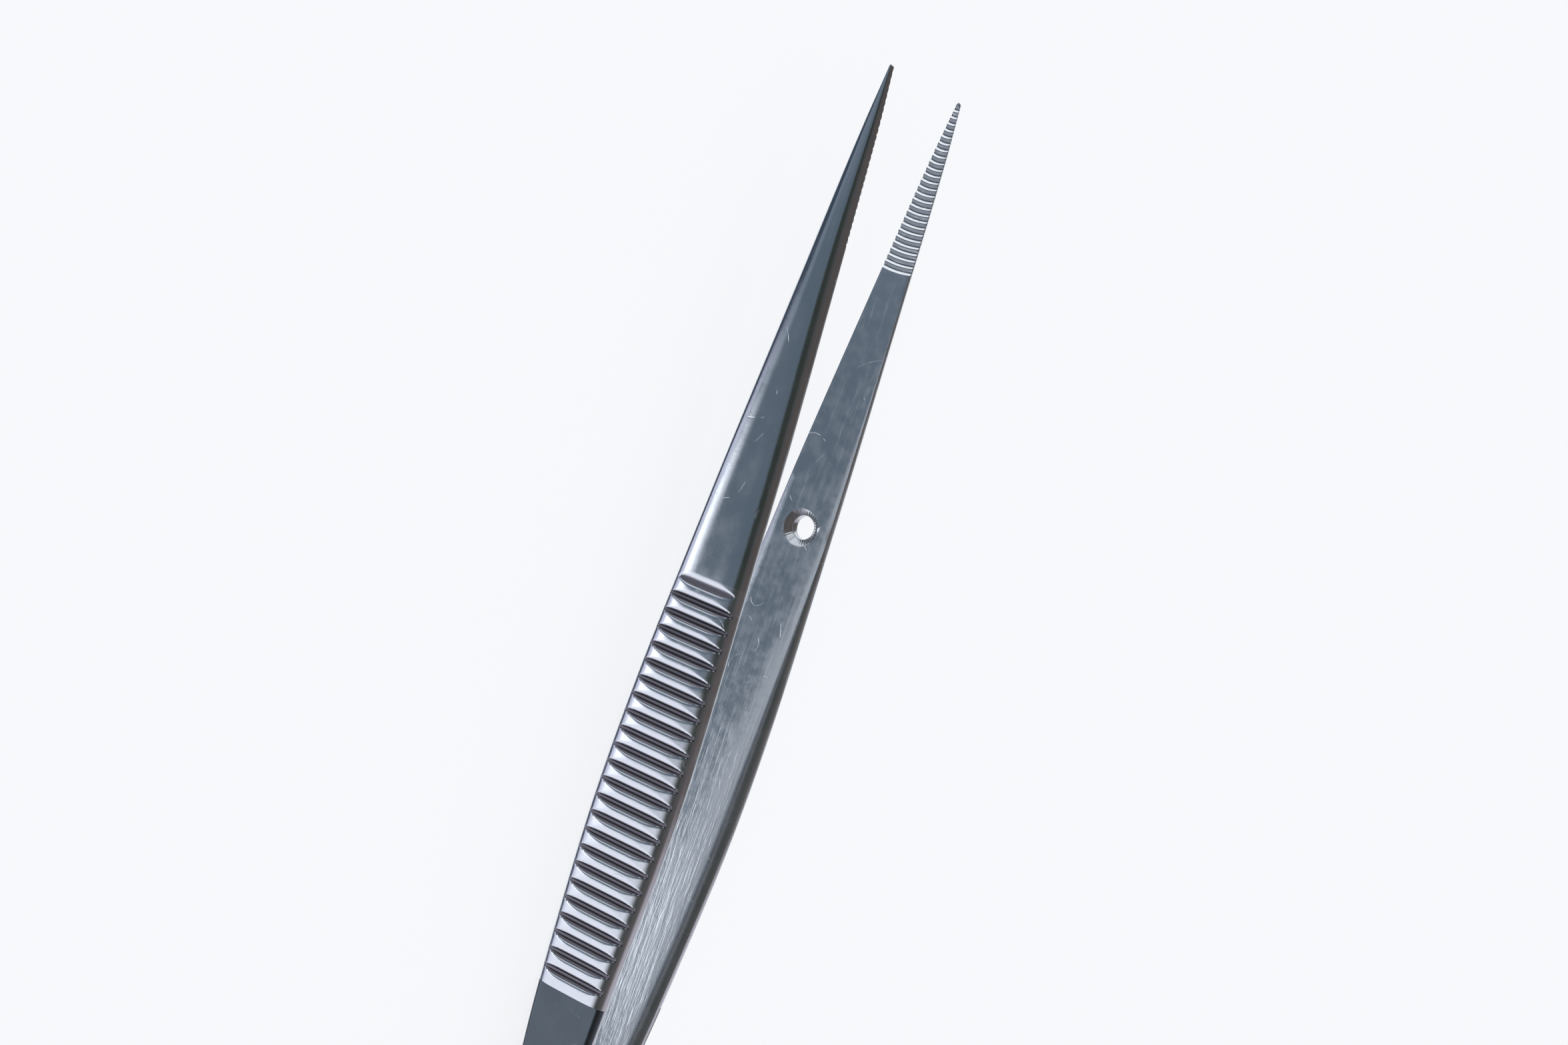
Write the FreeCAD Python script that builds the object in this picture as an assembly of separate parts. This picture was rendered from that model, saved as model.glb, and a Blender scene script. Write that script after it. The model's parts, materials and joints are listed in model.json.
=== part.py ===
import FreeCAD, Part
import math
import os

# Fine-pointed thumb forceps. Two sprung steel limbs are joined face to face at the tail.
# Each has a serrated jaw on its inner face and a ribbed finger grip on its outer face.
# A guide pin in one limb points at a countersunk hole in the other.
#
# The limbs are shaped in a working frame whose X runs forward to the tips at X = 0, whose
# Y is the width, and whose Z is the opening, zero midway between the limbs. The pin limb is
# above, and the hole limb, its mirror image, below. A station is a distance back from the
# tips. At the end the forceps are laid on their side, with both limbs on the surface.

# Stations along the forceps, mm behind the tips
total_length = 120.0
needle_station = 5.0
hole_station = 38.2
straight_start = 53.0
widest_station = 64.0
straight_end = 78.0
relief_station = 80.7
waist_station = 97.0
joint_length = 8.0

# Full width of a limb at those stations, mm
tip_width = 0.34
needle_width = 1.4
jaw_width = 2.89
hole_width = 5.95
grip_width = 8.2
relief_width = 6.9
waist_width = 5.2
tail_width = 4.8
tail_corner_radius = 1.5

# Thickness of a limb, inner face to the crest of its back, mm
tip_thickness = 0.4
jaw_thickness = 0.93
hole_thickness = 1.2
grip_thickness = 1.75
waist_thickness = 1.5
tail_thickness = 1.45

# Opening between the inner faces of the relaxed limbs, mm
tip_gap = 12.0
hole_gap = 10.1
grip_gap = 8.35
relief_gap = 7.12
waist_gap = 4.15

# Section of a limb: its flat crest and its flat sides as shares of its width and thickness,
# how square its shoulders are, and the bevels along its inner face
jaw_crest_share = 0.16
grip_crest_share = 0.3
jaw_side_share = 0.25
grip_side_share = 0.45
jaw_squareness = 2.0
grip_squareness = 2.4
sharp_edge = 0.05
bevel_width = 1.2
bevel_drop = 0.35

# Jaw serrations
tooth_count = 26
tooth_pitch = 0.571
tooth_depth = 0.16
first_tooth_station = 0.26
tooth_land_drop = 0.015

# Finger ribs: grooves cut across the back, with rounded ribs left between them
groove_count = 24
rib_pitch = 1.5
first_groove_station = 44.8
groove_depth = 0.36
groove_floor = 0.2
first_groove_share = 0.55
rib_rise = 0.03
flank_overrun = 0.02

# Plain section behind the ribs, ground flat across
relief_depth = 0.3

# Guide hole in the hole limb and guide pin in the pin limb
bore_diameter = 2.05
countersink_diameter = 3.35
pin_clearance = 0.22
pin_reach = 4.0
pin_nose_length = 1.5
pin_nose_diameter = 0.7
pin_seat_depth = 0.65

# Reach of cutters past the faces that they cut
overcut = 1.0

jaw_station = first_tooth_station + tooth_count * tooth_pitch
joint_station = total_length - joint_length
pin_diameter = bore_diameter - 2 * pin_clearance


def vector(x, y, z):
    return FreeCAD.Vector(x, y, z)


def smooth_curve(points, first_slope=None):
    """A cubic through the points that rises and falls only where they do."""
    steps = list(zip(points[:-1], points[1:]))
    chords = [(b[1] - a[1]) / (b[0] - a[0]) for a, b in steps]
    slopes = [chords[0] if first_slope is None else first_slope]
    for before, after in zip(chords[:-1], chords[1:]):
        same_way = before * after > 0
        slopes.append(2 * before * after / (before + after) if same_way else 0.0)
    slopes.append(chords[-1])

    def value(station):
        place = min(max(station, points[0][0]), points[-1][0])
        index = 0
        while index < len(steps) - 1 and place > points[index + 1][0]:
            index += 1
        (start, low), (end, high) = steps[index]
        span = end - start
        share = (place - start) / span
        rest = 1 - share
        return (low * rest ** 2 * (1 + 2 * share) + high * share ** 2 * (1 + 2 * rest)
                + span * slopes[index] * share * rest ** 2
                - span * slopes[index + 1] * share ** 2 * rest)

    return value


plan_width = smooth_curve([
    (0.0, tip_width),
    (needle_station, needle_width),
    (jaw_station, jaw_width),
    (hole_station, hole_width),
    (widest_station, grip_width),
    (relief_station, relief_width),
    (waist_station, waist_width),
    (total_length, tail_width),
])

thickness = smooth_curve([
    (0.0, tip_thickness),
    (jaw_station, jaw_thickness),
    (hole_station, hole_thickness),
    (widest_station, grip_thickness),
    (waist_station, waist_thickness),
    (total_length, tail_thickness + bevel_drop),
])

crest_share = smooth_curve([
    (0.0, jaw_crest_share),
    (jaw_station, jaw_crest_share),
    (first_groove_station, grip_crest_share),
    (total_length, grip_crest_share),
])

squareness = smooth_curve([
    (0.0, 2.0),
    (jaw_station, jaw_squareness),
    (first_groove_station, grip_squareness),
    (total_length, grip_squareness),
])

side_share = smooth_curve([
    (0.0, jaw_side_share),
    (jaw_station, jaw_side_share),
    (first_groove_station, grip_side_share),
    (total_length, grip_side_share),
])

edge_width = smooth_curve([
    (hole_station, sharp_edge),
    (widest_station, bevel_width),
    (total_length, bevel_width),
])

edge_drop = smooth_curve([
    (hole_station, sharp_edge),
    (widest_station, bevel_drop),
    (total_length, bevel_drop),
])

jaw_slope = (hole_gap - tip_gap) / 2 / hole_station

bowed_gap = smooth_curve([
    (hole_station, hole_gap / 2),
    (widest_station, grip_gap / 2),
    (relief_station, relief_gap / 2),
    (waist_station, waist_gap / 2),
    (joint_station, 0.0),
    (total_length, -bevel_drop),
], first_slope=jaw_slope)


def half_gap(station):
    """Height of the pin limb's inner face: straight jaws, then a bow down to the joint."""
    if station <= hole_station:
        return tip_gap / 2 + jaw_slope * station
    return bowed_gap(station)


def bowed_back(station):
    return half_gap(station) + thickness(station)


def back_height(station):
    """Height of the crest along the pin limb's back, which is straight under the fingers."""
    if not straight_start < station < straight_end:
        return bowed_back(station)
    share = (station - straight_start) / (straight_end - straight_start)
    return (1 - share) * bowed_back(straight_start) + share * bowed_back(straight_end)


def back_slope(station):
    step = 0.5
    return (back_height(station + step) - back_height(station - step)) / (2 * step)


def shoulder_points(station):
    """Points over the right shoulder, from the top of the flat side to the flat crest."""
    half = plan_width(station) / 2
    inner = half_gap(station)
    thick = back_height(station) - inner
    lowest = edge_drop(station) + sharp_edge
    bottom = inner + max(side_share(station) * thick, lowest)
    flat = crest_share(station) * half
    power = 2 / squareness(station)
    points = []
    for degrees in (0, 15, 32, 52, 72, 90):
        across = abs(math.cos(math.radians(degrees))) ** power
        up = math.sin(math.radians(degrees)) ** power
        points.append(vector(
            -station, flat + (half - flat) * across, bottom + (inner + thick - bottom) * up))
    return points


def chord_marks(points):
    """Running length along the points, one mark for each."""
    marks = [0.0]
    for start, end in zip(points[:-1], points[1:]):
        marks.append(marks[-1] + start.distanceToPoint(end))
    return marks


def smooth_edges(points, marks, joins=()):
    """A smooth curve through points that are spread as the marks are, cut in two at each join."""
    curve = Part.BSplineCurve()
    curve.interpolate(Points=points, Parameters=marks)
    ends = [0] + list(joins) + [len(points) - 1]
    edges = []
    for start, end in zip(ends[:-1], ends[1:]):
        piece = curve.copy()
        piece.segment(marks[start], marks[end])
        edges.append(piece.toShape())
    return edges


# Every section is spread along the limb's skin as the widest one is, so that the skin is even
shoulder_marks = chord_marks(shoulder_points(widest_station))
shoulder_joins = (2,)


def limb_section(station):
    """The outline across the pin limb, in mirrored halves: face, bevels, sides and back."""
    half = plan_width(station) / 2
    inner = half_gap(station)
    bevel = min(edge_width(station), 0.6 * half)
    face_edge = vector(-station, half - bevel, inner)
    side_foot = vector(-station, half, inner + edge_drop(station))
    shoulder = shoulder_points(station)

    def mirrored(point):
        return vector(point.x, -point.y, point.z)

    right = smooth_edges(shoulder, shoulder_marks, shoulder_joins)
    left = smooth_edges([mirrored(point) for point in shoulder], shoulder_marks, shoulder_joins)
    return Part.Wire([
        Part.makeLine(mirrored(face_edge), face_edge),
        Part.makeLine(face_edge, side_foot),
        Part.makeLine(side_foot, shoulder[0]),
        *right,
        Part.makeLine(shoulder[-1], mirrored(shoulder[-1])),
        *reversed(left),
        Part.makeLine(mirrored(shoulder[0]), mirrored(side_foot)),
        Part.makeLine(mirrored(side_foot), mirrored(face_edge)),
    ])


def section_stations():
    """Stations of the sections: close together at the tip, then in even steps."""
    steps = 16
    span = total_length - needle_station
    even = [needle_station + span * index / steps for index in range(steps + 1)]
    return [0.0, 0.2 * needle_station, 0.5 * needle_station] + even


def tail_corner(side):
    """Cutter for one corner of the tail in plan: a block less the round that is left."""
    radius = tail_corner_radius
    half = plan_width(total_length - radius) / 2
    centre = vector(radius - total_length, side * (half - radius), -tip_gap / 2)
    block = Part.makeBox(
        radius + overcut, radius + overcut, tip_gap,
        vector(centre.x - radius - overcut, min(centre.y, centre.y + side * (radius + overcut)),
               centre.z))
    return block.cut(Part.makeCylinder(radius, tip_gap, centre))


def limb_blank():
    """The pin limb before its ribs, teeth and seat, with the joint face ground flat."""
    limb = Part.makeLoft([limb_section(station) for station in section_stations()], True)
    below_joint = Part.makeBox(
        total_length + 2 * overcut, 2 * grip_width, tip_gap,
        vector(-total_length - overcut, -grip_width, -tip_gap))
    return cut_away(limb, [below_joint, tail_corner(1), tail_corner(-1)])


def cut_away(solid, cutters):
    """The one solid that is left after the cutters are taken from it."""
    return solid.cut(cutters).Solids[0]


def prism_across(outline):
    """A closed outline in the XZ plane drawn out over the whole width, as a cutter."""
    half = grip_width / 2 + overcut
    face = Part.Face(outline)
    face.translate(vector(0, -half, 0))
    return face.extrude(vector(0, 2 * half, 0))


def tooth_cutter():
    """A row of vees along the inner face of the jaw, point to point."""
    points = [vector(-first_tooth_station, 0, half_gap(first_tooth_station) - overcut)]
    for index in range(tooth_count + 1):
        station = first_tooth_station + index * tooth_pitch
        crest = half_gap(station) + tooth_land_drop
        points.append(vector(-station, 0, crest))
        if index < tooth_count:
            middle = station + tooth_pitch / 2
            points.append(vector(-middle, 0, half_gap(middle) + tooth_depth))
    points.append(vector(-jaw_station, 0, half_gap(jaw_station) - overcut))
    return prism_across(Part.makePolygon(points + points[:1]))


def groove_cutter(index):
    """One groove between two finger ribs, whose flanks are the ribs' rounded sides."""
    station = first_groove_station + index * rib_pitch
    depth = groove_depth * (first_groove_share if index == 0 else 1.0)
    half_floor = groove_floor / 2
    flank_run = rib_pitch / 2 - half_floor
    fall = depth + rib_rise
    radius = (flank_run ** 2 + fall ** 2) / (2 * fall)
    over = radius - rib_rise + flank_overrun
    mouth = rib_pitch / 2 - math.sqrt(radius ** 2 - over ** 2)

    def flank_height(run):
        return rib_rise - radius + math.sqrt(radius ** 2 - (rib_pitch / 2 - run) ** 2)

    middle = (mouth + half_floor) / 2
    right = [vector(mouth, 0, flank_height(mouth)), vector(middle, 0, flank_height(middle)),
             vector(half_floor, 0, -depth)]
    left = [vector(-point.x, 0, point.z) for point in reversed(right)]
    above = [vector(-mouth, 0, overcut), vector(mouth, 0, overcut)]
    outline = Part.Wire([
        Part.Arc(*right).toShape(),
        Part.makeLine(right[2], left[0]),
        Part.Arc(*left).toShape(),
        Part.makeLine(left[2], above[0]),
        Part.makeLine(above[0], above[1]),
        Part.makeLine(above[1], right[0]),
    ])
    cutter = prism_across(outline)
    tilt = math.degrees(math.atan(back_slope(station)))
    cutter.rotate(vector(0, 0, 0), vector(0, 1, 0), tilt)
    cutter.translate(vector(-station, 0, back_height(station)))
    return cutter


def relief_cutter():
    """Everything above the flat ground along the back, from behind the ribs to the tail."""
    steps = 6
    start = relief_station
    end = total_length + overcut
    stations = [start + (end - start) * index / steps for index in range(steps + 1)]
    ground = [vector(-station, 0, back_height(station) - relief_depth) for station in stations]
    above = [vector(-end, 0, tip_gap), vector(-start, 0, tip_gap)]
    outline = Part.Wire([
        *smooth_edges(ground, chord_marks(ground)),
        Part.makeLine(ground[-1], above[0]),
        Part.makeLine(above[0], above[1]),
        Part.makeLine(above[1], ground[0]),
    ])
    return prism_across(outline)


def finished_limb():
    """The pin limb, still without its seat: serrated jaw, finger ribs and ground back."""
    grooves = [groove_cutter(index) for index in range(groove_count)]
    return cut_away(limb_blank(), [tooth_cutter(), relief_cutter()] + grooves)


def guide_hole():
    """Cutter for the hole limb: a bore with a right-angled countersink at its inner face."""
    face = -half_gap(hole_station)
    bore_radius = bore_diameter / 2
    sink_radius = countersink_diameter / 2
    sink_depth = sink_radius - bore_radius
    centre = vector(-hole_station, 0, 0)
    down = vector(0, 0, -1)
    bore = Part.makeCylinder(
        bore_radius, hole_thickness + 2 * overcut, centre + vector(0, 0, face + overcut), down)
    sink = Part.makeCone(
        sink_radius + overcut, bore_radius, sink_depth + overcut,
        centre + vector(0, 0, face + overcut), down)
    return bore.fuse(sink)


def pin_seat():
    """Cutter for the pin limb: a blind hole for the pin's shank."""
    face = half_gap(hole_station)
    return Part.makeCylinder(
        pin_diameter / 2, pin_seat_depth + overcut, vector(-hole_station, 0, face - overcut))


def turned_pin():
    """The guide pin: a straight shank seated in the pin limb, and a tapered round nose."""
    face = half_gap(hole_station)
    radius = pin_diameter / 2
    nose_radius = pin_nose_diameter / 2
    taper_start = face - pin_reach + pin_nose_length
    nose_centre = face - pin_reach + nose_radius
    side = nose_radius * math.sqrt(0.5)
    outline = Part.Wire([
        Part.makeLine(vector(0, 0, face + pin_seat_depth), vector(radius, 0, face + pin_seat_depth)),
        Part.makeLine(vector(radius, 0, face + pin_seat_depth), vector(radius, 0, taper_start)),
        Part.makeLine(vector(radius, 0, taper_start), vector(nose_radius, 0, nose_centre)),
        Part.Arc(vector(nose_radius, 0, nose_centre), vector(side, 0, nose_centre - side),
                 vector(0, 0, face - pin_reach)).toShape(),
        Part.makeLine(vector(0, 0, face - pin_reach), vector(0, 0, face + pin_seat_depth)),
    ])
    pin = Part.Face(outline).revolve(vector(0, 0, 0), vector(0, 0, 1), 360)
    pin.translate(vector(-hole_station, 0, 0))
    return pin


def resting_slope(balance_station):
    """Slope of the surface on which the bulging sides of the two limbs balance."""
    stations = [total_length * index / 480 for index in range(481)]

    def touching_station(slope):
        return max(stations, key=lambda place: plan_width(place) / 2 + slope * place)

    low, high = 0.0, 0.2
    for _ in range(40):
        slope = (low + high) / 2
        if touching_station(slope) < balance_station:
            low = slope
        else:
            high = slope
    return (low + high) / 2


def lay_down(pieces):
    """Lay the forceps on their side as they balance, with the origin under their middle."""
    weight = sum(piece.Volume for piece in pieces.values())
    balance = sum(piece.Volume * piece.CenterOfMass.x for piece in pieces.values()) / weight
    tilt = -math.degrees(math.atan(resting_slope(-balance)))
    for piece in pieces.values():
        piece.rotate(vector(0, 0, 0), vector(1, 0, 0), -90)
        piece.rotate(vector(0, 0, 0), vector(0, 1, 0), tilt)
    together = Part.makeCompound(list(pieces.values())).optimalBoundingBox(False, False)
    shift = vector(-together.Center.x, -together.Center.y, -together.ZMin)
    for piece in pieces.values():
        piece.translate(shift)


def build_pieces():
    limb = finished_limb()
    mirrored_limb = limb.mirror(vector(0, 0, 0), vector(0, 0, 1))
    return {
        "hole_limb": cut_away(mirrored_limb, guide_hole()),
        "pin_limb": cut_away(limb, pin_seat()),
        "guide_pin": turned_pin(),
    }


os.makedirs("parts", exist_ok=True)
pieces = build_pieces()
lay_down(pieces)
for name, shape in pieces.items():
    shape.exportStep("parts/" + name + ".step")
    print(name, "valid" if shape.isValid() else "broken", len(shape.Solids), "solid",
          round(shape.Volume, 2), "mm3")
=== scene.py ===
import json
import math

import bpy
from mathutils import Matrix, Vector


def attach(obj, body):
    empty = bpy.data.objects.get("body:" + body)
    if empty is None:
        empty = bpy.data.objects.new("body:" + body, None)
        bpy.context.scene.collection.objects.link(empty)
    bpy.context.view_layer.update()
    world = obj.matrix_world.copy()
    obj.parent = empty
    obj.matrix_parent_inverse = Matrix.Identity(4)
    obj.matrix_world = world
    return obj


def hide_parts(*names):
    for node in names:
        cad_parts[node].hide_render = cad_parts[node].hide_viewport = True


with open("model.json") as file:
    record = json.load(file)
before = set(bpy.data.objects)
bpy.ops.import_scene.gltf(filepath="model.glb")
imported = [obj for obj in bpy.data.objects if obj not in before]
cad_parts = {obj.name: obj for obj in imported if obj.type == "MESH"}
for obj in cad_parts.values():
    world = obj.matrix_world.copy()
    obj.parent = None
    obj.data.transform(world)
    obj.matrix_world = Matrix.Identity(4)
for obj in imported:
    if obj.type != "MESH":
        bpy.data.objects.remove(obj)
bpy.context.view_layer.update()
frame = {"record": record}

# The two limbs, alike but for the hole and the pin. Each is one strip of hardened stainless
# steel, forged to a bowed taper and ground: a fine serrated jaw, a ribbed finger grip on the
# back, and a tail that is welded to the other's. They lie on their side, as they come to rest.

# Stations in millimetres behind the tips
total_length = 120.0
needle_station = 5.0
hole_station = 38.2
straight_start = 53.0
widest_station = 64.0
straight_end = 78.0
relief_station = 80.7
waist_station = 97.0
joint_length = 8.0
joint_station = total_length - joint_length

# Full widths, thicknesses and gaps between the limbs, in millimetres
tip_width = 0.34
needle_width = 1.4
jaw_width = 2.89
hole_width = 5.95
grip_width = 8.2
relief_width = 6.9
waist_width = 5.2
tail_width = 4.8
tip_thickness = 0.4
jaw_thickness = 0.93
hole_thickness = 1.2
grip_thickness = 1.75
waist_thickness = 1.5
tail_thickness = 1.45
tip_gap = 12.0
hole_gap = 10.1
grip_gap = 8.35
relief_gap = 7.12
waist_gap = 4.15

# Section: shares of the width and thickness that are flat, squareness, edges and end rounds.
# The wheel has ground one bevel of the inner face flat, and rolled over the other.
jaw_crest_share = 0.16
grip_crest_share = 0.3
jaw_side_share = 0.25
grip_side_share = 0.45
jaw_squareness = 2.0
grip_squareness = 2.4
sharp_edge = 0.05
bevel_width = 1.2
bevel_drop = 0.35
flat_bevel_start = 32.0
flat_bevel_station = 42.0
flat_bevel_width = 0.55
flat_bevel_drop = 0.16
most_bevel_share = 0.6
tip_round = 0.16
blunt_tip_share = 0.3
tail_corner_radius = 1.5
edge_round = 0.04
most_round_of_drop = 0.4
most_round_of_width = 0.2
quarter_round = 0.29
blend_reach = 0.05

# Serrations of the jaw and ribs of the grip
tooth_count = 26
tooth_pitch = 0.571
tooth_depth = 0.16
first_tooth_station = 0.26
tooth_land_drop = 0.015
tooth_land = 0.03
tooth_bow = 0.12
bow_fade = 1.5
flank_start_share = 0.65
jaw_station = first_tooth_station + tooth_count * tooth_pitch
groove_count = 24
rib_pitch = 1.5
first_groove_station = 44.8
grip_start = first_groove_station - rib_pitch / 2
groove_depth = 0.36
groove_floor = 0.2
first_groove_share = 0.55
rib_rise = 0.03
relief_depth = 0.3

# Where the tail's end lies in the frame gives the way from the limbs' own axes to the frame:
# X forward from the tips, Y across the width, Z the way the limbs open, in millimetres
tail_end = frame["record"]["mounts"][0]
tilt = math.atan2(tail_end["axis"][2], -tail_end["axis"][0])
turned = Matrix.Rotation(tilt, 4, "Y") @ Matrix.Rotation(-math.pi / 2, 4, "X")
unshifted_end = turned @ Vector((-total_length * 0.001, 0, 0))
tail_place = Vector((tail_end["pos_m"][0], 0, tail_end["pos_m"][2]))
laid = Matrix.Translation(tail_place - unshifted_end) @ turned @ Matrix.Scale(0.001, 4)


def smooth_curve(points, first_slope=None):
    """A cubic through the points that rises and falls only where they do."""
    steps = list(zip(points[:-1], points[1:]))
    chords = [(b[1] - a[1]) / (b[0] - a[0]) for a, b in steps]
    slopes = [chords[0] if first_slope is None else first_slope]
    for before, after in zip(chords[:-1], chords[1:]):
        same_way = before * after > 0
        slopes.append(2 * before * after / (before + after) if same_way else 0.0)
    slopes.append(chords[-1])

    def value(station):
        place = min(max(station, points[0][0]), points[-1][0])
        index = 0
        while index < len(steps) - 1 and place > points[index + 1][0]:
            index += 1
        (start, low), (end, high) = steps[index]
        span = end - start
        share = (place - start) / span
        rest = 1 - share
        return (low * rest ** 2 * (1 + 2 * share) + high * share ** 2 * (1 + 2 * rest)
                + span * slopes[index] * share * rest ** 2
                - span * slopes[index + 1] * share ** 2 * rest)

    return value


plan_width = smooth_curve([
    (0.0, tip_width), (needle_station, needle_width), (jaw_station, jaw_width),
    (hole_station, hole_width), (widest_station, grip_width), (relief_station, relief_width),
    (waist_station, waist_width), (total_length, tail_width),
])
thickness = smooth_curve([
    (0.0, tip_thickness), (jaw_station, jaw_thickness), (hole_station, hole_thickness),
    (widest_station, grip_thickness), (waist_station, waist_thickness),
    (total_length, tail_thickness + bevel_drop),
])
edge_width = smooth_curve([
    (hole_station, sharp_edge), (widest_station, bevel_width), (total_length, bevel_width)])
edge_drop = smooth_curve([
    (hole_station, sharp_edge), (widest_station, bevel_drop), (total_length, bevel_drop)])
flat_edge_width = smooth_curve([
    (flat_bevel_start, sharp_edge), (flat_bevel_station, flat_bevel_width),
    (widest_station, bevel_width), (total_length, bevel_width)])
flat_edge_drop = smooth_curve([
    (flat_bevel_start, sharp_edge), (flat_bevel_station, flat_bevel_drop),
    (widest_station, bevel_drop), (total_length, bevel_drop)])
jaw_slope = (hole_gap - tip_gap) / 2 / hole_station
bowed_gap = smooth_curve([
    (hole_station, hole_gap / 2), (widest_station, grip_gap / 2),
    (relief_station, relief_gap / 2), (waist_station, waist_gap / 2),
    (joint_station, 0.0), (total_length, -bevel_drop),
], first_slope=jaw_slope)


def from_jaw_to_grip(jaw_value, grip_value):
    return smooth_curve([
        (0.0, jaw_value), (jaw_station, jaw_value),
        (first_groove_station, grip_value), (total_length, grip_value)])


crest_share = from_jaw_to_grip(jaw_crest_share, grip_crest_share)
side_share = from_jaw_to_grip(jaw_side_share, grip_side_share)
squareness = from_jaw_to_grip(jaw_squareness, grip_squareness)


def half_gap(station):
    if station <= hole_station:
        return tip_gap / 2 + jaw_slope * station
    return bowed_gap(station)


def back_height(station):
    def bowed(place):
        return half_gap(place) + thickness(place)

    if not straight_start < station < straight_end:
        return bowed(station)
    share = (station - straight_start) / (straight_end - straight_start)
    return (1 - share) * bowed(straight_start) + share * bowed(straight_end)


def lower_of(one, other, reach):
    """The lower of two heights, rounded where they meet."""
    share = min(max(0.5 + 0.5 * (other - one) / reach, 0.0), 1.0)
    return other * (1 - share) + one * share - reach * share * (1 - share)


def groove_height(station):
    """Height of the ground ribs along the back, far above it where there are none."""
    index = round((station - first_groove_station) / rib_pitch)
    if not 0 <= index < groove_count:
        return back_height(station) + 1.0
    centre = first_groove_station + index * rib_pitch
    depth = groove_depth * (first_groove_share if index == 0 else 1.0)
    half_floor = groove_floor / 2
    flank_run = rib_pitch / 2 - half_floor
    fall = depth + rib_rise
    radius = (flank_run ** 2 + fall ** 2) / (2 * fall)
    run = min(abs(station - centre), rib_pitch / 2)
    sagging = -depth
    if run > half_floor:
        sagging = rib_rise - radius + math.sqrt(radius ** 2 - (rib_pitch / 2 - run) ** 2)
    slope = back_height(centre + 0.5) - back_height(centre - 0.5)
    return back_height(centre) + slope * (station - centre) + sagging


def tooth_height(station):
    """Height of the serrated face over the plain one."""
    if not first_tooth_station < station < jaw_station:
        return 0.0
    along = (station - first_tooth_station) % tooth_pitch
    from_crest = min(along, tooth_pitch - along)
    share = (from_crest - tooth_land) / (tooth_pitch / 2 - 2 * tooth_land)
    return tooth_land_drop + (tooth_depth - tooth_land_drop) * min(max(share, 0.0), 1.0)


def rounded(before, corner, after, reach):
    """Three points that round a corner of the section."""
    near = (Vector(before) - Vector(corner)).normalized() * reach
    far = (Vector(after) - Vector(corner)).normalized() * reach
    corner = Vector(corner)
    return [corner + near, corner + (near + far) * quarter_round, corner + far]


face_steps = 6
edge_steps = 5
shoulder_steps = 20
crest_steps = 3


def half_section(station, ground_flat):
    """(width, height) points from the middle of the inner face round to the middle of the
    back, with the kind of surface that each one starts."""
    half = plan_width(station) / 2
    inner = half_gap(station)
    width_curve, drop_curve, roll = edge_width, edge_drop, 2
    if ground_flat:
        width_curve, drop_curve, roll = flat_edge_width, flat_edge_drop, 1
    bevel = min(width_curve(station), most_bevel_share * half)
    drop = drop_curve(station)
    small = min(edge_round, most_round_of_drop * drop, most_round_of_width * half)
    face_edge = half - bevel
    side_foot = (half, inner + drop)
    thick = back_height(station) - inner
    bottom = inner + max(side_share(station) * thick, drop + sharp_edge)
    flat = crest_share(station) * half
    power = 2 / squareness(station)
    points = [("face", Vector((face_edge * step / face_steps, inner)))
              for step in range(face_steps)]
    rolled = [Vector((face_edge + bevel * step / edge_steps,
                      inner + drop * (step / edge_steps) ** roll))
              for step in range(edge_steps)]
    corner = rounded(rolled[-1], side_foot, (half, bottom), small)
    points += [("edge", point) for point in rolled + corner[:2]]
    points += [("side", corner[2]), ("side", (corner[2] + Vector((half, bottom))) / 2)]
    for step in range(shoulder_steps + 1):
        angle = math.pi / 2 * step / shoulder_steps
        points.append(("back", Vector((
            flat + (half - flat) * abs(math.cos(angle)) ** power,
            bottom + (inner + thick - bottom) * math.sin(angle) ** power))))
    points += [("back", Vector((flat * (1 - step / crest_steps), inner + thick)))
               for step in range(1, crest_steps + 1)]
    return points


def end_scale(station):
    """Share of the width that the rounds at the tip and at the tail's corners leave."""
    if station < tip_round:
        left = tip_round - station
        rounded_share = math.sqrt(max(tip_round ** 2 - left ** 2, 0)) / tip_round
        return max(rounded_share, blunt_tip_share)
    past = station - (total_length - tail_corner_radius)
    if past <= 0:
        return 1.0
    half = plan_width(total_length - tail_corner_radius) / 2
    left = math.sqrt(max(tail_corner_radius ** 2 - past ** 2, 0))
    return (half - tail_corner_radius + left) / half


tip_rings = 5
tail_rings = 10
rings_per_rib = 16
plain_ring_step = 0.5
step_reach = 0.01


def ring_stations():
    """Stations of the rings of points, close together where the steel is cut."""
    stations = [tip_round * (1 - math.cos(math.pi / 2 * step / tip_rings))
                for step in range(tip_rings)]
    stations += [tip_round, (tip_round + first_tooth_station) / 2]
    half = tooth_pitch / 2
    marks = [tooth_land, 0.4 * half, 0.7 * half, half - tooth_land, half + tooth_land,
             1.3 * half, 1.6 * half, tooth_pitch - tooth_land]
    for index in range(tooth_count):
        stations += [first_tooth_station + index * tooth_pitch + mark for mark in marks]
    count = int((grip_start - jaw_station) / plain_ring_step)
    stations += [jaw_station + (grip_start - jaw_station) * step / count
                 for step in range(count)]
    count = round((relief_station - grip_start) / (rib_pitch / rings_per_rib))
    stations += [grip_start + (relief_station - grip_start) * step / count
                 for step in range(count)]
    stations += [relief_station - step_reach, relief_station + step_reach]
    straight_tail = total_length - tail_corner_radius
    count = int((straight_tail - relief_station) / plain_ring_step)
    stations += [relief_station + (straight_tail - relief_station) * step / count
                 for step in range(1, count)]
    stations += [straight_tail + tail_corner_radius * math.sin(math.pi / 2 * step / tail_rings)
                 for step in range(tail_rings)]
    return stations + [total_length]


finishes = ["face", "edge", "side", "back", "teeth", "flanks", "ribs", "tail", "hole"]


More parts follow.
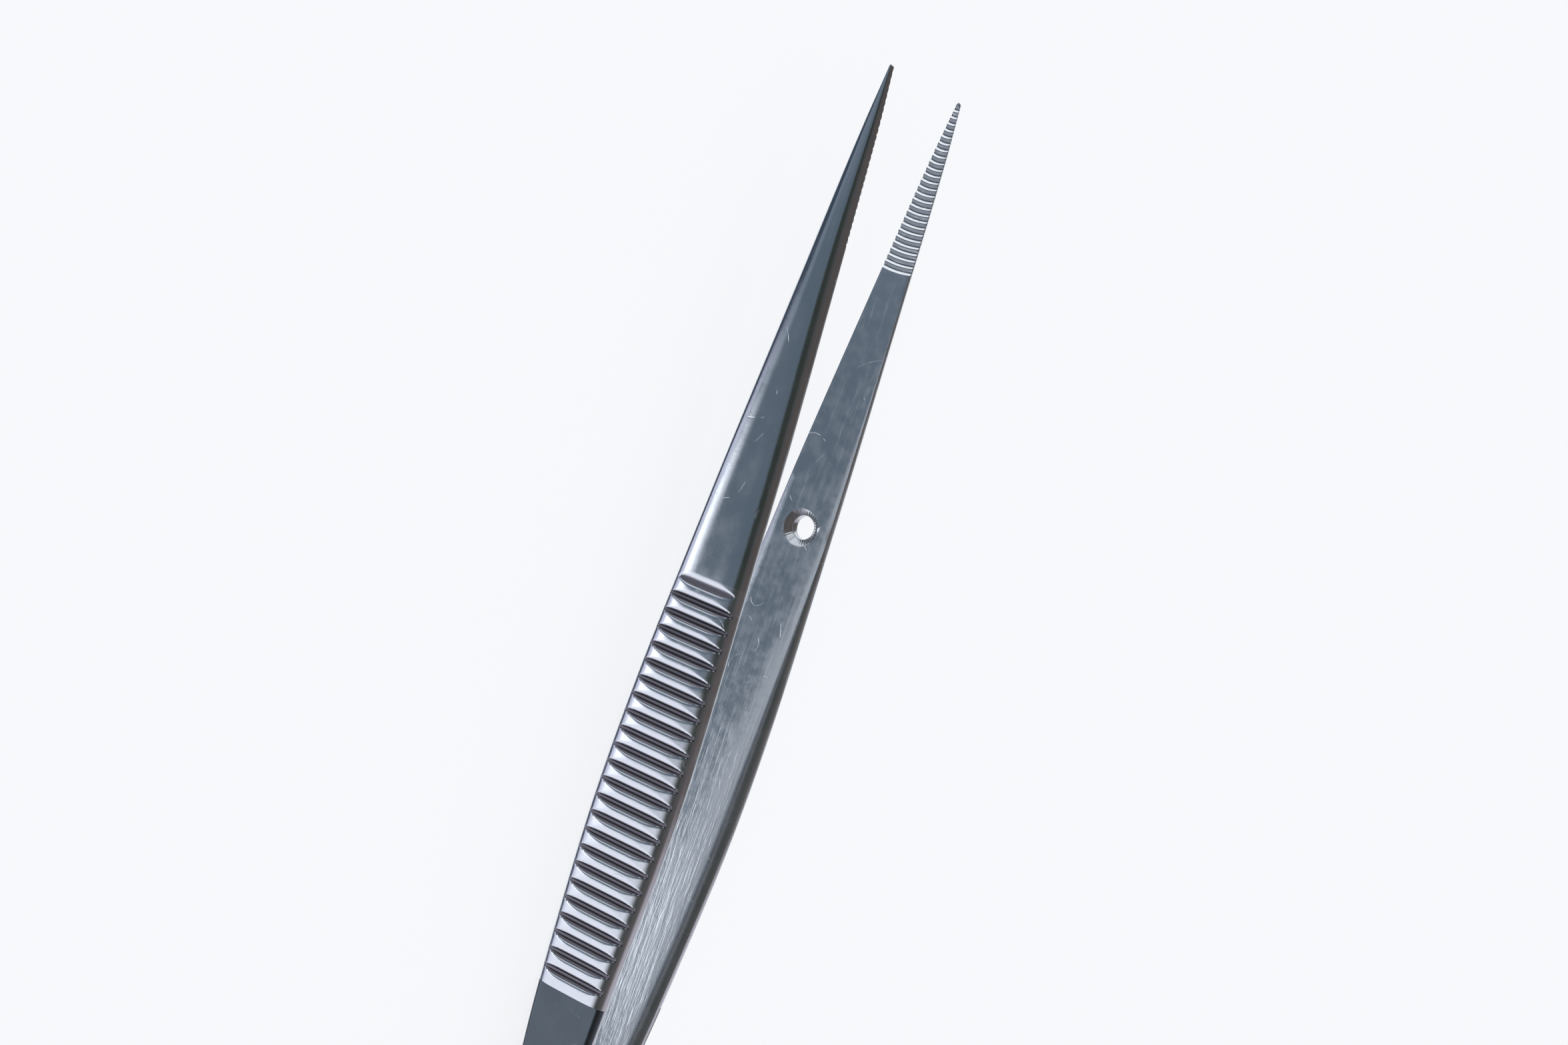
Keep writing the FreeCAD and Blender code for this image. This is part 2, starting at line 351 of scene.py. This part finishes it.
def finish_at(kind, station):
    """The finish of a surface of this kind: painted shade on serrations, painted highlight on
    rear flanks.
    """
    if kind in ("face", "edge") and first_tooth_station < station < jaw_station:
        along = (station - first_tooth_station) % tooth_pitch
        return "teeth" if along < flank_start_share * tooth_pitch else "flanks"
    if kind == "back" and station > relief_station:
        return "tail"
    if kind == "back" and station > grip_start:
        return "ribs"
    return kind


def cut_height(kind, height, station):
    """Height of a point of the section once the ribs, teeth, relief and joint are ground."""
    if kind == "back":
        height = lower_of(height, groove_height(station), blend_reach)
        if station > relief_station:
            height = lower_of(height, back_height(station) - relief_depth, blend_reach)
    else:
        height = max(height, half_gap(station) + tooth_height(station))
    return max(height, 0.0)


def cut_share(kind, station, depth):
    """How far down a groove a point lies that has been cut by the depth: 0 to 1."""
    if kind != "back":
        return min(depth / tooth_depth, 1.0)
    full = (back_height(station) - groove_height(station)) / groove_depth
    return min(max(full, 0.0), 1.0) * min(depth / blend_reach, 1.0)


def bowed_back(kind, share_across, station):
    """How far the serrations, cut with a round-edged file, bow towards the tail."""
    if kind not in ("face", "edge"):
        return 0.0
    fade = min(max((jaw_station + bow_fade - station) / bow_fade, 0.0), 1.0)
    return tooth_bow * (1 - share_across ** 2) * fade * min(station / needle_station, 1.0)


just_before = 0.005


def limb_mesh(name, side):
    """A limb above the middle plane for side 1 and below it for side -1."""
    corners = []
    cut_shares = []
    faces = []
    face_finish = []
    previous = None
    for station in ring_stations():
        squeeze = end_scale(station)
        half_width = plan_width(station) / 2
        halves = []
        for ground_flat, way in ((False, 1), (True, -1)):
            half = []
            for kind, point in half_section(station, ground_flat):
                height = cut_height(kind, point.y, station)
                place = station + bowed_back(kind, point.x / half_width, station)
                share = cut_share(kind, station, abs(point.y - height))
                half.append((place, point.x * squeeze * way, height, share))
            halves.append(half)
        kinds = [kind for kind, _ in half_section(station, False)]
        kinds = kinds[:-1] + kinds[-2::-1]
        start = len(corners)
        for place, width, height, share in halves[0] + halves[1][-2:0:-1]:
            corners.append(laid @ Vector((-place, width * side, height * side)))
            cut_shares.append(share)
        count = len(kinds)
        if previous is not None:
            for index, kind in enumerate(kinds):
                following = (index + 1) % count
                faces.append((previous + index, previous + following,
                              start + following, start + index))
                face_finish.append(finish_at(kind, station - just_before))
        previous = start
    faces.append(tuple(range(count))[::-1])
    face_finish.append("side")
    faces.append(tuple(range(previous, previous + count)))
    face_finish.append("side")
    mesh = bpy.data.meshes.new(name)
    mesh.from_pydata(corners, [], faces)
    for polygon, finish in zip(mesh.polygons, face_finish):
        polygon.material_index = finishes.index(finish)
    mesh.attributes.new("cut share", "FLOAT", "POINT").data.foreach_set("value", cut_shares)
    limb = bpy.data.objects.new(name, mesh)
    bpy.context.scene.collection.objects.link(limb)
    return limb


# Steel finishes: what is ground, polished or handled, and painted light, as masks that each
# finish mixes its own way


def add_node(tree, kind, values=None, **settings):
    made = tree.nodes.new(kind)
    for name, value in settings.items():
        setattr(made, name, value)
    for name, value in (values or {}).items():
        made.inputs[name].default_value = value
    return made


def new_group(name, inputs, outputs):
    """An empty node group with its named sockets, and its input and output nodes."""
    group = bpy.data.node_groups.new(name, "ShaderNodeTree")
    for label, kind, value in inputs:
        socket = group.interface.new_socket(name=label, in_out="INPUT", socket_type=kind)
        if value is not None:
            socket.default_value = value
    for label, kind in outputs:
        group.interface.new_socket(name=label, in_out="OUTPUT", socket_type=kind)
    return group, add_node(group, "NodeGroupInput"), add_node(group, "NodeGroupOutput")


def grinding_lines_group():
    """Fine lines as a belt or file leaves them. Grain is a line's size each way, in metres."""
    group, given, result = new_group(
        "grinding lines",
        [("Place", "NodeSocketVector", None), ("Grain", "NodeSocketVector", None)],
        [("Lines", "NodeSocketFloat"), ("Streaks", "NodeSocketFloat")])
    stretched = add_node(group, "ShaderNodeVectorMath", operation="DIVIDE")
    group.links.new(given.outputs["Place"], stretched.inputs[0])
    group.links.new(given.outputs["Grain"], stretched.inputs[1])
    lines = add_node(group, "ShaderNodeTexNoise",
                     {"Scale": 1.0, "Detail": 3.0, "Roughness": 0.65})
    group.links.new(stretched.outputs[0], lines.inputs["Vector"])
    group.links.new(lines.outputs["Fac"], result.inputs["Lines"])
    # The streaks, the brightest lines, serve the finishes as painted highlights.
    picked = add_node(group, "ShaderNodeMapRange",
                      {"From Min": 0.56, "From Max": 0.72}, interpolation_type="SMOOTHSTEP")
    group.links.new(lines.outputs["Fac"], picked.inputs["Value"])
    group.links.new(picked.outputs["Result"], result.inputs["Streaks"])
    return group


def handling_marks_group():
    """Soft patches that fingers and wiping leave, and small specks. Sizes in metres."""
    group, given, result = new_group(
        "handling marks",
        [("Place", "NodeSocketVector", None), ("Patch Size", "NodeSocketFloat", 0.002),
         ("Speck Size", "NodeSocketFloat", 0.0005)],
        [("Patches", "NodeSocketFloat"), ("Specks", "NodeSocketFloat")])
    for size, output in (("Patch Size", "Patches"), ("Speck Size", "Specks")):
        scaled = add_node(group, "ShaderNodeVectorMath", operation="DIVIDE")
        group.links.new(given.outputs["Place"], scaled.inputs[0])
        group.links.new(given.outputs[size], scaled.inputs[1])
        noise = add_node(group, "ShaderNodeTexNoise",
                         {"Scale": 1.0, "Detail": 4.0, "Roughness": 0.6})
        group.links.new(scaled.outputs[0], noise.inputs["Vector"])
        low, high = (0.35, 0.65) if output == "Patches" else (0.68, 0.74)
        picked = add_node(group, "ShaderNodeMapRange", {"From Min": low, "From Max": high},
                          interpolation_type="SMOOTHSTEP")
        group.links.new(noise.outputs["Fac"], picked.inputs["Value"])
        group.links.new(picked.outputs["Result"], result.inputs[output])
    return group


def hairline_scratches_group():
    """Thin scratches at all angles, here and there. Size in metres."""
    group, given, result = new_group(
        "hairline scratches",
        [("Place", "NodeSocketVector", None), ("Size", "NodeSocketFloat", 0.004)],
        [("Scratches", "NodeSocketFloat")])
    scaled = add_node(group, "ShaderNodeVectorMath", operation="DIVIDE")
    group.links.new(given.outputs["Place"], scaled.inputs[0])
    group.links.new(given.outputs["Size"], scaled.inputs[1])
    contours = add_node(group, "ShaderNodeTexNoise", {"Scale": 1.0, "Detail": 0.0})
    group.links.new(scaled.outputs[0], contours.inputs["Vector"])
    distance = add_node(group, "ShaderNodeMath", {1: 0.5}, operation="SUBTRACT")
    group.links.new(contours.outputs["Fac"], distance.inputs[0])
    size = add_node(group, "ShaderNodeMath", operation="ABSOLUTE")
    group.links.new(distance.outputs[0], size.inputs[0])
    thin = add_node(group, "ShaderNodeMapRange",
                    {"From Min": 0.0, "From Max": 0.006, "To Min": 1.0, "To Max": 0.0})
    group.links.new(size.outputs[0], thin.inputs["Value"])
    breaks = add_node(group, "ShaderNodeTexNoise", {"Scale": 2.7, "Detail": 1.0})
    group.links.new(scaled.outputs[0], breaks.inputs["Vector"])
    kept = add_node(group, "ShaderNodeMapRange", {"From Min": 0.55, "From Max": 0.62})
    group.links.new(breaks.outputs["Fac"], kept.inputs["Value"])
    both = add_node(group, "ShaderNodeMath", operation="MULTIPLY")
    group.links.new(thin.outputs["Result"], both.inputs[0])
    group.links.new(kept.outputs["Result"], both.inputs[1])
    group.links.new(both.outputs[0], result.inputs["Scratches"])
    return group


grinding_lines = grinding_lines_group()
handling_marks = handling_marks_group()
hairline_scratches = hairline_scratches_group()


def add_group(tree, group, place, values):
    made = add_node(tree, "ShaderNodeGroup", node_tree=group)
    tree.links.new(place, made.inputs["Place"])
    for name, value in values.items():
        made.inputs[name].default_value = value
    return made


def weighted_sum(tree, start, parts):
    """A socket with start plus each part's socket times its share."""
    total = None
    for socket, share in parts:
        step = add_node(tree, "ShaderNodeMath", {1: share, 2: start}, operation="MULTIPLY_ADD")
        tree.links.new(socket, step.inputs[0])
        if total is not None:
            tree.links.new(total, step.inputs[2])
        total = step.outputs[0]
    return total


bump_reach = 0.00002
scratch_gloss = 0.1
scratch_depth = -0.2
cut_starts = 0.08
cut_full = 0.4
cut_gloss = 0.12
strokes_start = 0.024
strokes_full = -0.012


def steel(name, colour, roughness, grain=(0.004, 0.0003, 0.0003), line_depth=0.3,
          line_gloss=0.08, painted_glint_share=0.0, patch_size=0.002, patch_gloss=0.05,
          patch_depth=0.1, speck_share=0.1, scratch_share=0.1, groove_shade_colour=None,
          stroke_depth=0.0):
    """One finish of the steel. Shares, depths and gloss say how far each mark changes it, the
    groove colour is painted shade that darkens the grooves the deeper they go, and the strokes
    are those of the last pass of the belt, which deepen towards the tail."""
    material = bpy.data.materials.new(name)
    material.use_nodes = True
    tree = material.node_tree
    shader = tree.nodes["Principled BSDF"]
    shader.inputs["Metallic"].default_value = 1.0
    place = add_node(tree, "ShaderNodeTexCoord").outputs["Object"]
    lines = add_group(tree, grinding_lines, place, {"Grain": grain})
    marks = add_group(tree, handling_marks, place, {"Patch Size": patch_size})
    scratches = add_group(tree, hairline_scratches, place, {})
    # Painted highlight: the brightest grinding streaks lighten the base colour as glints would;
    # the specks and scratches lighten it as real wear.
    glints_and_wear = weighted_sum(tree, 0.0, [
        (lines.outputs["Streaks"], painted_glint_share), (marks.outputs["Specks"], speck_share),
        (scratches.outputs["Scratches"], scratch_share)])
    tint = add_node(tree, "ShaderNodeMix", data_type="RGBA", clamp_factor=True)
    tree.links.new(glints_and_wear, tint.inputs["Factor"])
    tint.inputs["A"].default_value = (*colour, 1)
    tint.inputs["B"].default_value = (*bright_colour, 1)
    tinted = tint.outputs["Result"]
    gloss = [(lines.outputs["Lines"], line_gloss), (marks.outputs["Patches"], patch_gloss),
             (scratches.outputs["Scratches"], scratch_gloss)]
    # Painted shade: the base colour darkens by how deep each point lies in its groove.
    if groove_shade_colour is not None:
        share = add_node(tree, "ShaderNodeAttribute", attribute_name="cut share")
        sunk = add_node(tree, "ShaderNodeMapRange",
                        {"From Min": cut_starts, "From Max": cut_full},
                        interpolation_type="SMOOTHSTEP")
        tree.links.new(share.outputs["Fac"], sunk.inputs["Value"])
        shaded = add_node(tree, "ShaderNodeMix", data_type="RGBA")
        tree.links.new(sunk.outputs["Result"], shaded.inputs["Factor"])
        tree.links.new(tinted, shaded.inputs["A"])
        shaded.inputs["B"].default_value = (*groove_shade_colour, 1)
        tinted = shaded.outputs["Result"]
        gloss.append((sunk.outputs["Result"], cut_gloss))
    tree.links.new(tinted, shader.inputs["Base Color"])
    tree.links.new(weighted_sum(tree, roughness, gloss), shader.inputs["Roughness"])
    marked = [(lines.outputs["Lines"], line_depth), (marks.outputs["Patches"], patch_depth),
              (scratches.outputs["Scratches"], scratch_depth)]
    if stroke_depth:
        split = add_node(tree, "ShaderNodeSeparateXYZ")
        tree.links.new(place, split.inputs[0])
        nearness = add_node(tree, "ShaderNodeMapRange", {
            "From Min": strokes_start, "From Max": strokes_full},
            interpolation_type="SMOOTHSTEP")
        tree.links.new(split.outputs["X"], nearness.inputs["Value"])
        strokes = add_node(tree, "ShaderNodeMath", operation="MULTIPLY")
        tree.links.new(lines.outputs["Lines"], strokes.inputs[0])
        tree.links.new(nearness.outputs["Result"], strokes.inputs[1])
        marked.append((strokes.outputs[0], stroke_depth))
    height = weighted_sum(tree, 0.0, marked)
    bump = add_node(tree, "ShaderNodeBump", {"Strength": 1.0, "Distance": bump_reach})
    tree.links.new(height, bump.inputs["Height"])
    tree.links.new(bump.outputs["Normal"], shader.inputs["Normal"])
    return material


steel_colour = (0.60, 0.62, 0.645)
bright_colour = (0.86, 0.87, 0.89)
file_grain = (0.00007, 0.0004, 0.0016)
limb_finishes = {
    "face": steel("ground inner face", steel_colour, 0.11, grain=(0.006, 0.0004, 0.0004),
                  line_depth=0.3, stroke_depth=1.7, painted_glint_share=0.3, patch_size=0.0011,
                  patch_gloss=0.07, patch_depth=0.1, speck_share=0.15),
    "edge": steel("ground edge", steel_colour, 0.18, line_depth=0.1),
    "side": steel("linished side", steel_colour, 0.16, line_depth=0.3),
    "back": steel("polished back", steel_colour, 0.07, line_depth=0.1, line_gloss=0.04,
                  patch_size=0.003, patch_depth=0.08),
    # Painted shade and highlight: the serrations' dark base colour and their rear flanks' bright
    # one stand for shade and light on the same steel.
    "teeth": steel("filed serrations with painted shade", (0.2, 0.22, 0.24), 0.2, grain=file_grain,
                   line_depth=0.25, painted_glint_share=0.5, patch_size=0.0004),
    "flanks": steel("serration flanks with painted highlight", (0.9, 0.91, 0.93), 0.12,
                    grain=file_grain, line_depth=0.15, patch_size=0.0005, patch_depth=0.15),
    # The ribs' groove colour is painted shade in the grooves.
    "ribs": steel("polished finger ribs", (0.64, 0.65, 0.685), 0.12, line_depth=0.03,
                  groove_shade_colour=(0.15, 0.14, 0.16)),
    # Painted dark reflection: the tail flat's dark base colour stands for the dark room it
    # mirrors.
    "tail": steel("satin tail flat", (0.1, 0.118, 0.135), 0.3),
    # Painted highlight: the hole's light base colour.
    "hole": steel("drilled and countersunk steel", (0.85, 0.86, 0.88), 0.12,
                  line_depth=0.1),
}


limb_sharp_angle = 24


def dress_limb(limb, node):
    for finish in finishes:
        limb.data.materials.append(limb_finishes[finish])
    limb.data.shade_smooth()
    limb.data.set_sharp_from_angle(angle=math.radians(limb_sharp_angle))
    limb.modifiers.new("face weighted shading", "WEIGHTED_NORMAL").keep_sharp = True
    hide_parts(node)
    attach(limb, "root")


# The hole limb, the one further from the camera. Its steel is drilled through behind the jaw
# and countersunk from the inner face, and the hole receives the pin when the jaws close.
bore_radius = 1.025
countersink_radius = 1.675
sink_depth = 0.48
rim_round = 0.05
chatter_depth = 0.012
chatter_count = 34
facets_per_chatter = 4
cutter_reach = 1.0


def revolved(name, profile, count, ripple=0.0, ripple_count=1):
    """A closed turned form about Z from (radius, height, ripples) points, in limb axes."""
    corners = []
    faces = []
    for radius, height, share in profile:
        for step in range(count):
            angle = 2 * math.pi * step / count
            spread = radius + ripple * share * math.cos(ripple_count * angle)
            corners.append((spread * math.cos(angle), spread * math.sin(angle), height))
    for level in range(len(profile) - 1):
        for step in range(count):
            following = (step + 1) % count
            faces.append((level * count + step, level * count + following,
                          (level + 1) * count + following, (level + 1) * count + step))
    faces.append(tuple(range(count))[::-1])
    faces.append(tuple(range((len(profile) - 1) * count, len(profile) * count)))
    mesh = bpy.data.meshes.new(name)
    mesh.from_pydata(corners, [], faces)
    turned_form = bpy.data.objects.new(name, mesh)
    bpy.context.scene.collection.objects.link(turned_form)
    return turned_form


def cut_hole(limb):
    """Takes the bore and its countersink out of the hole limb."""
    bore_end = -hole_thickness - cutter_reach
    cutter = revolved("hole cutter", [
        (bore_radius, bore_end, 0.0),
        (bore_radius, -sink_depth - rim_round, 0.0),
        (bore_radius + 0.3 * rim_round, -sink_depth - 0.1 * rim_round, 0.0),
        (bore_radius + rim_round, -sink_depth + rim_round, 0.3),
        (countersink_radius - rim_round, -rim_round, 1.0),
        (countersink_radius - 0.3 * rim_round, -0.4 * rim_round, 1.0),
        (countersink_radius + rim_round, 0.0, 1.0),
        (countersink_radius + rim_round, cutter_reach, 1.0),
    ], chatter_count * facets_per_chatter, chatter_depth, chatter_count)
    lean = Matrix.Rotation(math.atan(jaw_slope), 4, "Y")
    place = Matrix.Translation((-hole_station, 0, -half_gap(hole_station)))
    cutter.data.transform(laid @ place @ lean)
    for finish in finishes:
        cutter.data.materials.append(None)
    for polygon in cutter.data.polygons:
        polygon.material_index = finishes.index("hole")
    cut = limb.modifiers.new("guide hole", "BOOLEAN")
    cut.operation = "DIFFERENCE"
    cut.solver = "EXACT"
    cut.object = cutter
    evaluated = limb.evaluated_get(bpy.context.evaluated_depsgraph_get())
    drilled = bpy.data.meshes.new_from_object(evaluated)
    limb.modifiers.clear()
    limb.data = drilled
    bpy.data.objects.remove(cutter)


hole_limb = limb_mesh("hole_limb_steel", -1)
cut_hole(hole_limb)
dress_limb(hole_limb, "hole_limb")

# The pin limb, the one nearer to the camera: the same strip of steel turned over, with a blind
# hole in its inner face that the pin is pressed into, so no hole shows.
pin_limb = limb_mesh("pin_limb_steel", 1)
dress_limb(pin_limb, "pin_limb")

# The guide pin: bright steel, turned with a tapered round nose and pressed into the pin limb.
# It leads the jaws together, and stands free of the other limb while they are open.
pin_radius = 0.805
pin_reach = 4.0
pin_seat_depth = 0.65
nose_length = 1.5
nose_radius = 0.35
turning_marks = 0.004
pin_facets = 72
pin_sharp_angle = 40


def pin_profile():
    """(radius, height, ripples) points from the nose up to the seat, with fine turning marks."""
    points = []
    nose_centre = -pin_reach + nose_radius
    for step in range(1, 9):
        angle = math.pi / 2 * step / 8
        points.append((nose_radius * math.sin(angle),
                       nose_centre - nose_radius * math.cos(angle), 0.0))
    taper_start = -pin_reach + nose_length
    taper_steps = 24
    for step in range(1, taper_steps + 1):
        share = step / taper_steps
        mark = turning_marks * (step % 2)
        points.append((nose_radius + (pin_radius - nose_radius) * share - mark,
                       nose_centre + (taper_start - nose_centre) * share, 0.0))
    shank_steps = 40
    for step in range(1, shank_steps + 1):
        share = step / shank_steps
        mark = turning_marks * (step % 2)
        points.append((pin_radius - mark, taper_start * (1 - share), 0.0))
    points.append((pin_radius, pin_seat_depth, 0.0))
    return points


guide_pin = revolved("guide_pin_steel", pin_profile(), pin_facets)
guide_pin.data.transform(
    laid @ Matrix.Translation((-hole_station, 0, half_gap(hole_station))))
guide_pin.data.materials.append(
    steel("turned pin", (0.64, 0.65, 0.665), 0.14, line_depth=0.05))
guide_pin.data.shade_smooth()
guide_pin.data.set_sharp_from_angle(angle=math.radians(pin_sharp_angle))
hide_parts("guide_pin")
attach(guide_pin, "root")

# The floor: a plain pale sheet of paper that glows a little, as one lit from behind does. The
# polished steel doesn't mirror it.
floor_reach = 3.0
floor_colour = (0.12, 0.12, 0.12)
floor_glow_colour = (0.93, 0.94, 0.965)
floor_glow = 0.88
floor_mesh = bpy.data.meshes.new("floor")
floor_mesh.from_pydata(
    [(-floor_reach, -floor_reach, 0), (floor_reach, -floor_reach, 0),
     (floor_reach, floor_reach, 0), (-floor_reach, floor_reach, 0)], [], [(0, 1, 2, 3)])
floor = bpy.data.objects.new("floor", floor_mesh)
bpy.context.scene.collection.objects.link(floor)
floor.visible_glossy = False
floor_paint = bpy.data.materials.new("pale floor")
floor_paint.use_nodes = True
floor_shader = floor_paint.node_tree.nodes["Principled BSDF"]
floor_shader.inputs["Base Color"].default_value = (*floor_colour, 1)
floor_shader.inputs["Roughness"].default_value = 1.0
floor_shader.inputs["Specular IOR Level"].default_value = 0.0
floor_shader.inputs["Emission Color"].default_value = (*floor_glow_colour, 1)
floor_shader.inputs["Emission Strength"].default_value = floor_glow
floor.data.materials.append(floor_paint)

# The light: a soft even dome. The steel mirrors a room instead: a window over the limbs' left
# side, pale walls towards the tails and far ahead, and dim walls and floor everywhere else.
# Each band of the room is a ring round the limbs' length, at its share of the way forward.
room_colours = {
    "window": (1.1, 1.15, 1.22),
    "backdrop": (0.46, 0.48, 0.51),
    "pale wall": (0.56, 0.585, 0.64),
    "lilac wall": (0.42, 0.43, 0.53),
    "slate wall": (0.072, 0.094, 0.118),
    "grey wall": (0.11, 0.135, 0.17),
    "navy corner": (0.032, 0.044, 0.062),
    "dark ceiling": (0.022, 0.027, 0.024),
    "dim ceiling": (0.045, 0.045, 0.046),
    "brown shelf": (0.06, 0.05, 0.048),
    "mauve shelf": (0.28, 0.265, 0.295),
}
room_brightness = 2.0
dome_colour = (0.97, 0.98, 1.0)
below = [(-180, "backdrop"), (-160, "backdrop"), (-154, "brown shelf"),
         (-60, "brown shelf")]
mauve_below = [(-180, "backdrop"), (-160, "backdrop"), (-154, "mauve shelf"),
               (-120, "mauve shelf"), (-60, "brown shelf")]
right = [(-30, "dim ceiling"), (-14, "dark ceiling"), (2, "dark ceiling"),
         (9, "slate wall")]
pale_right = [(-30, "dim ceiling"), (-8, "dark ceiling"), (8, "pale wall")]
behind = [(79, "navy corner"), (97, "navy corner"), (108, "backdrop"), (180, "backdrop")]
room_bands = [
    # share of the way forward, then degrees from overhead round to the left
    (0.73, [(-180, "backdrop"), (-120, "backdrop"), (-60, "brown shelf"),
            (-38, "backdrop"), (180, "backdrop")]),
    (0.67, below + right + [(40, "navy corner"), (60, "navy corner"), (70, "backdrop"),
                           (180, "backdrop")]),
    (0.52, below + right + [(40, "dim ceiling"), (60, "navy corner"), (70, "backdrop"),
                            (180, "backdrop")]),
    (0.42, below + right + [(24, "slate wall"), (34, "pale wall"), (56, "pale wall"),
                            (62, "navy corner"), (72, "backdrop"), (180, "backdrop")]),
    (0.12, below + right + [(24, "slate wall"), (34, "grey wall"), (54, "grey wall"),
                            (60, "navy corner")] + behind),
    (0.02, below + right + [(20, "slate wall"), (34, "slate wall"), (40, "grey wall"),
                            (54, "grey wall"), (59, "navy corner")] + behind),
    (-0.035, below + right + [(20, "slate wall"), (35, "slate wall"), (42, "grey wall"),
                              (54, "grey wall"), (59, "lilac wall"), (73, "lilac wall")]
     + behind),
    (-0.075, below + right + [(20, "slate wall"), (35, "slate wall"), (42, "pale wall"),
                              (49, "window"), (56, "window"), (59, "lilac wall"),
                              (73, "lilac wall")]
     + behind),
    (-0.115, below + right + [(20, "slate wall"), (33, "slate wall"), (40, "pale wall"),
                              (46, "window"), (55, "window"), (60, "lilac wall"),
                              (73, "lilac wall")]
     + behind),
    (-0.16, below + right + [(20, "slate wall"), (26, "grey wall"), (31, "pale wall"),
                             (45, "window"), (56, "window"), (61, "lilac wall"),
                             (73, "lilac wall")] + behind),
    (-0.25, mauve_below + pale_right + [(58, "pale wall"), (73, "lilac wall")] + behind),
    (-0.84, mauve_below + pale_right + [(80, "pale wall"), (97, "mauve shelf"),
                                        (108, "backdrop"), (180, "backdrop")]),
    (-0.90, mauve_below + right + [(60, "mauve shelf"), (120, "mauve shelf"),
                                   (180, "backdrop")]),
]
world = bpy.data.worlds.new("studio")
bpy.context.scene.world = world
world.use_nodes = True
sky = world.node_tree
sky.nodes.clear()
direction = add_node(sky, "ShaderNodeTexCoord").outputs["Generated"]


def along(axis):
    """How far the direction goes along an axis of the limbs."""
    made = add_node(sky, "ShaderNodeVectorMath", operation="DOT_PRODUCT")
    sky.links.new(direction, made.inputs[0])
    made.inputs[1].default_value = turned.to_3x3() @ Vector(axis)
    return made.outputs["Value"]


def room_band(share_round, stops):
    """The colours of one ring of the room, from its stops in order."""
    ramp = add_node(sky, "ShaderNodeValToRGB")
    elements = ramp.color_ramp.elements
    elements.remove(elements[-1])
    for index, (degrees, colour) in enumerate(stops):
        place = (degrees + 180) / 360
        stop = elements[0] if index == 0 else elements.new(place)
        stop.position = place
        stop.color = (*room_colours[colour], 1)
    sky.links.new(share_round, ramp.inputs["Fac"])
    return ramp.outputs["Color"]


forward = along((1, 0, 0))
around = add_node(sky, "ShaderNodeMath", operation="ARCTAN2")
sky.links.new(along((0, 1, 0)), around.inputs[0])
sky.links.new(along((0, 0, 1)), around.inputs[1])
share_round = add_node(sky, "ShaderNodeMapRange", {
    "From Min": -math.pi, "From Max": math.pi}).outputs["Result"]
sky.links.new(around.outputs[0], share_round.node.inputs["Value"])
seen = room_band(share_round, room_bands[0][1])
for (before, _), (place, stops) in zip(room_bands[:-1], room_bands[1:]):
    passed = add_node(sky, "ShaderNodeMapRange", {"From Min": before, "From Max": place},
                      interpolation_type="SMOOTHSTEP")
    sky.links.new(forward, passed.inputs["Value"])
    mixed = add_node(sky, "ShaderNodeMix", data_type="RGBA")
    sky.links.new(passed.outputs["Result"], mixed.inputs["Factor"])
    sky.links.new(seen, mixed.inputs["A"])
    sky.links.new(room_band(share_round, stops), mixed.inputs["B"])
    seen = mixed.outputs["Result"]
mirrored = add_node(sky, "ShaderNodeBackground", {"Strength": room_brightness})
sky.links.new(seen, mirrored.inputs["Color"])
dome = add_node(sky, "ShaderNodeBackground",
                {"Color": (*dome_colour, 1), "Strength": 1.0})
ray = add_node(sky, "ShaderNodeLightPath")
chosen = add_node(sky, "ShaderNodeMixShader")
sky.links.new(ray.outputs["Is Glossy Ray"], chosen.inputs[0])
sky.links.new(dome.outputs[0], chosen.inputs[1])
sky.links.new(mirrored.outputs[0], chosen.inputs[2])
sky.links.new(chosen.outputs[0], add_node(sky, "ShaderNodeOutputWorld").inputs["Surface"])

# The camera, where the photograph was taken from: over the jaws, square to the open limbs and
# turned so that the forceps stand upright in the picture. Places are in the limbs' own axes.
camera_place = Vector((-23.69, -117.45, 196.89))
camera_forward = Vector((-0.0625, 0.5071, -0.8596))
camera_right = Vector((0.337, -0.8, -0.4964))
focal_length = 63.28
film_width = 36.0
nearest_seen = 0.01
furthest_seen = 20.0
eye = bpy.data.cameras.new("camera")
eye.lens = focal_length
eye.sensor_fit = "HORIZONTAL"
eye.sensor_width = film_width
eye.clip_start = nearest_seen
eye.clip_end = furthest_seen
camera = bpy.data.objects.new("camera", eye)
bpy.context.scene.collection.objects.link(camera)
backward = -(turned.to_3x3() @ camera_forward).normalized()
rightward = (turned.to_3x3() @ camera_right).normalized()
upward = backward.cross(rightward).normalized()
rightward = upward.cross(backward)
stance = Matrix((rightward, upward, backward)).transposed().to_4x4()
camera.matrix_world = Matrix.Translation(laid @ camera_place) @ stance
bpy.context.scene.camera = camera
bpy.context.scene.view_settings.view_transform = "Standard"
